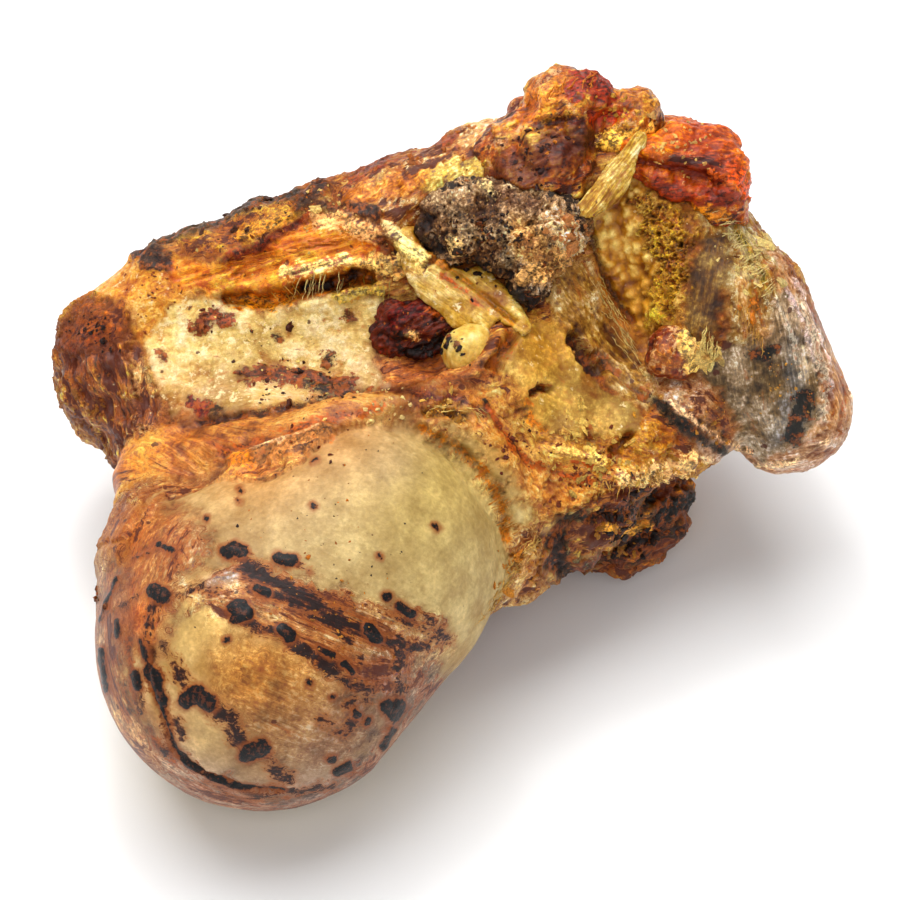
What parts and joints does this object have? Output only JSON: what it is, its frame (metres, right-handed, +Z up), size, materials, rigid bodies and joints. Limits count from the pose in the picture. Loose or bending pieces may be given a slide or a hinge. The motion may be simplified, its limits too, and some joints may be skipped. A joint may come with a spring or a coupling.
{
  "type": "roasted knuckle bone",
  "caption": "End of a large roasted leg bone: a smooth cartilage dome, a roller-shaped condyle, a rough ridge over a shallow valley, and dried, charred meat and fat on top.",
  "frame": {"origin": "middle of the underside of the whole part's box, on the surface that it rests on", "axes": "+Z up as it rests, +X to the right of the picture's view along the longest side, +Y away from that view"},
  "size_m": [0.1506, 0.1284, 0.0905],
  "materials": {
    "bone": "cartilage, bone and tendon, smooth and waxy on the dome and the condyle, fibrous elsewhere, browned by roasting",
    "char": "burnt, crumbly, dry",
    "meat": "dried, lumpy, greasy",
    "fat": "soft, waxy, glossy"
  },
  "bodies": {
    "root": {"knuckle_bone": "bone", "charred_meat": "char", "meat_crown": "meat", "meat_roll": "meat", "pit_meat": "meat", "meat_knot": "meat", "fat_pearl": "fat", "fat_flap": "fat", "fat_strap": "fat"}
  },
  "joints": []
}
